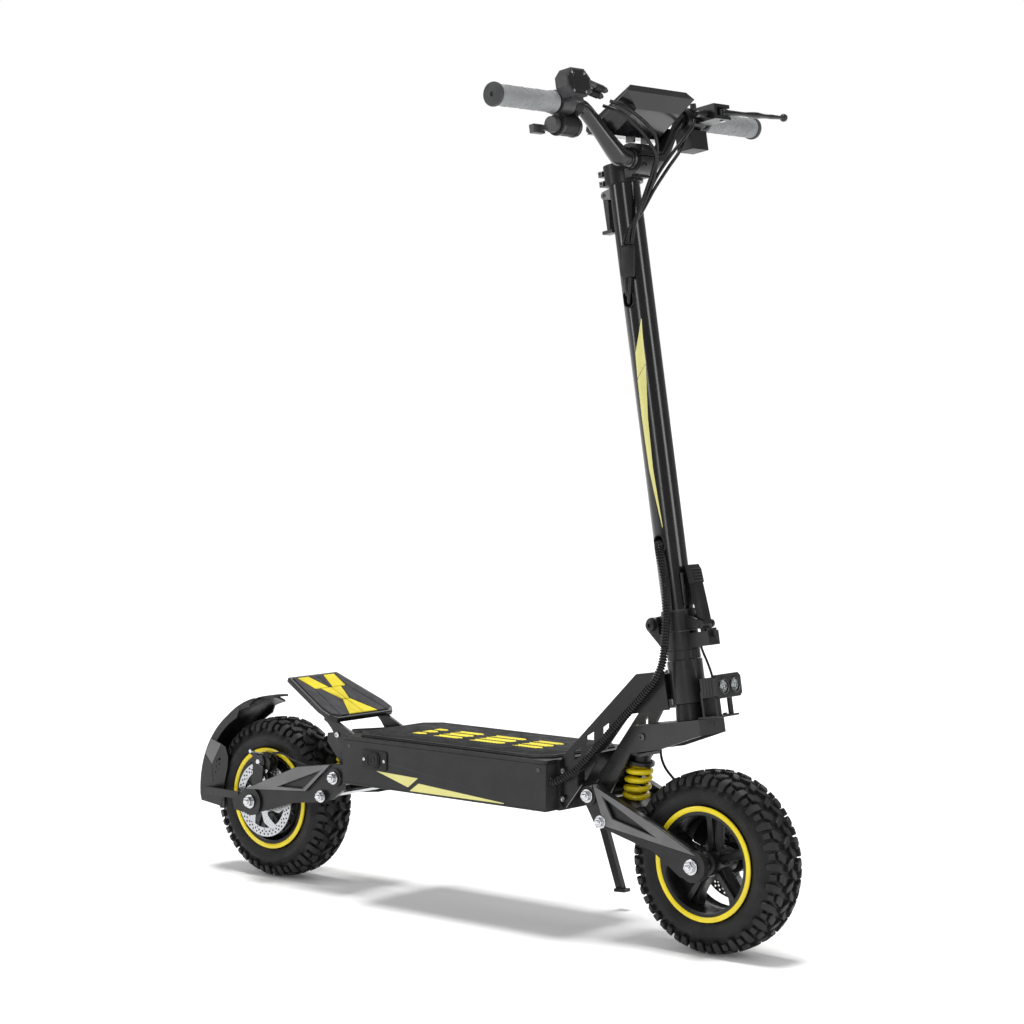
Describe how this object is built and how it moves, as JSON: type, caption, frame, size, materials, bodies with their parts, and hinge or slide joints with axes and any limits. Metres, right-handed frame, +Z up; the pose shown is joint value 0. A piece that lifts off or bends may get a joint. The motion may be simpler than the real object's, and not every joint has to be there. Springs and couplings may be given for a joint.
{
  "type": "electric kick scooter",
  "caption": "Off-road electric kick scooter with folding stem, box deck, sprung swing arms, disc brakes, rear fender and kick plate.",
  "frame": {"origin": "middle of the length and width, on the floor under the tyres", "axes": "+X to the front wheel, +Y to the rider's left, +Z up"},
  "size_m": [1.145, 0.594, 1.2121],
  "materials": {
    "frame_black": "satin powder coat",
    "stem_black": "gloss black",
    "arm_black": "satin powder coat",
    "wheel_black": "satin black",
    "cast_black": "satin black",
    "plastic_black": "fine texture",
    "switch_yellow": "smooth",
    "pad_grey": "ribbed",
    "mat_rubber": "ribbed",
    "grip_rubber": "ribbed",
    "cable_black": "ridged",
    "steel": "brushed",
    "spring_yellow": "gloss",
    "tyre": "tread",
    "lens": "clear",
    "cell_wrap": "wrapped",
    "controller_case": "plain"
  },
  "bodies": {
    "frame": {"deck_shell": "frame_black", "deck_bottom_cover": "frame_black", "deck_top_plate": "frame_black", "deck_mat": "mat_rubber", "battery_pack": "cell_wrap", "motor_controller": "controller_case", "neck_frame": "frame_black", "headset_bearings": "steel", "kick_plate": "plastic_black", "kick_plate_pad": "pad_grey", "kick_plate_support": "frame_black", "rear_bracket": "frame_black", "charge_socket": "plastic_black", "deck_screws": "steel", "loom_lower": "cable_black", "rear_spring": "spring_yellow"},
    "steerer": {"fork": "frame_black", "headset_cap": "plastic_black", "fold_base": "frame_black", "fold_pin": "cast_black", "headlight_body": "plastic_black", "headlight_lenses": "lens", "lamp_bracket": "cast_black", "front_spring_seat": "cast_black", "front_spring": "spring_yellow"},
    "stem": {"stem_tube": "stem_black", "stem_foot": "frame_black", "stem_grommets": "mat_rubber", "bar_clamp": "frame_black", "handlebar": "frame_black", "grips": "grip_rubber", "brake_body_right": "cast_black", "throttle_body": "plastic_black", "brake_body_left": "plastic_black", "switch_pod": "plastic_black", "display_body": "plastic_black", "bar_cables": "cable_black", "cable_sleeve": "cable_black", "loom_upper": "cable_black"},
    "front_arm": {"front_arms": "arm_black", "front_shafts": "steel", "front_caliper": "cast_black"},
    "front_wheel": {"front_tyre": "tyre", "front_rim": "wheel_black", "front_rotor": "steel"},
    "rear_arm": {"rear_arms": "arm_black", "rear_shafts": "steel", "rear_fender": "plastic_black", "rear_caliper": "cast_black"},
    "rear_wheel": {"rear_tyre": "tyre", "rear_hub_motor": "wheel_black", "rear_rotor": "steel"},
    "kickstand": {"kickstand": "cast_black"},
    "brake_lever": {"brake_lever": "cast_black"},
    "throttle_paddle": {"throttle_paddle": "switch_yellow"},
    "latch_lever": {"latch_lever": "cast_black"},
    "stem_hook": {"stem_hook": "cast_black"},
    "charge_cover": {"charge_cover": "plastic_black"},
    "switch_rocker": {"switch_rocker": "switch_yellow"},
    "mode_button": {"mode_button": "switch_yellow"}
  },
  "joints": [
    {"name": "steering", "type": "hinge", "parent": "frame", "child": "steerer", "pos_m": [0.398, 0, 0.344], "axis": [-0.1607, 0, 0.987], "range_deg": [-35, 35], "deforming": ["loom_lower"]},
    {"name": "stem_fold", "type": "hinge", "parent": "steerer", "child": "stem", "pos_m": [0.34233, 0, 0.44942], "axis": [0, -1, 0], "range_deg": [0, 90], "deforming": ["loom_upper"]},
    {"name": "front_arm_pivot", "type": "hinge", "parent": "steerer", "child": "front_arm", "pos_m": [0.263, 0, 0.2065], "axis": [0, -1, 0], "range_deg": [0, 8], "stiffness_Nm_per_rad": 120, "springref_deg": -20.05, "deforming": ["front_spring"]},
    {"name": "front_wheel_spin", "type": "hinge", "parent": "front_arm", "child": "front_wheel", "pos_m": [0.445, 0, 0.1275], "axis": [0, 1, 0], "continuous": true},
    {"name": "rear_arm_pivot", "type": "hinge", "parent": "frame", "child": "rear_arm", "pos_m": [-0.225, 0, 0.1835], "axis": [0, 1, 0], "range_deg": [0, 8], "stiffness_Nm_per_rad": 120, "springref_deg": -20.05, "deforming": ["rear_spring"]},
    {"name": "rear_wheel_spin", "type": "hinge", "parent": "rear_arm", "child": "rear_wheel", "pos_m": [-0.41, 0, 0.1275], "axis": [0, 1, 0], "continuous": true},
    {"name": "kickstand_fold", "type": "hinge", "parent": "frame", "child": "kickstand", "pos_m": [0.158, 0.098, 0.16], "axis": [0, 0.9511, 0.309], "range_deg": [0, 88]},
    {"name": "brake_lever_squeeze", "type": "hinge", "parent": "stem", "child": "brake_lever", "pos_m": [0.33236, 0.16, 1.17627], "axis": [-0.1607, 0, 0.987], "range_deg": [0, 14], "stiffness_Nm_per_rad": 3, "springref_deg": -5.73},
    {"name": "throttle_press", "type": "hinge", "parent": "stem", "child": "throttle_paddle", "pos_m": [0.29835, -0.176, 1.13628], "axis": [0, -1, 0], "range_deg": [0, 30], "stiffness_Nm_per_rad": 0.3, "springref_deg": -11.46},
    {"name": "latch_swing", "type": "hinge", "parent": "stem", "child": "latch_lever", "pos_m": [0.42439, 0, 0.45569], "axis": [0, 1, 0], "range_deg": [0, 80]},
    {"name": "hook_swing", "type": "hinge", "parent": "stem", "child": "stem_hook", "pos_m": [0.25119, 0, 1.05262], "axis": [0, 1, 0], "range_deg": [0, 75]},
    {"name": "charge_cover_flip", "type": "hinge", "parent": "frame", "child": "charge_cover", "pos_m": [-0.114, -0.1025, 0.237], "axis": [-1, 0, 0], "range_deg": [0, 90]},
    {"name": "switch_rock", "type": "hinge", "parent": "stem", "child": "switch_rocker", "pos_m": [0.28848, 0.137, 1.13468], "axis": [-0.1607, 0, 0.987], "range_deg": [-4, 4]},
    {"name": "mode_button_press", "type": "slide", "parent": "stem", "child": "mode_button", "axis": [0.5193, 0, -0.8546], "range_m": [0, 0.0012], "stiffness_N_per_m": 300, "springref_m": -0.001}
  ]
}
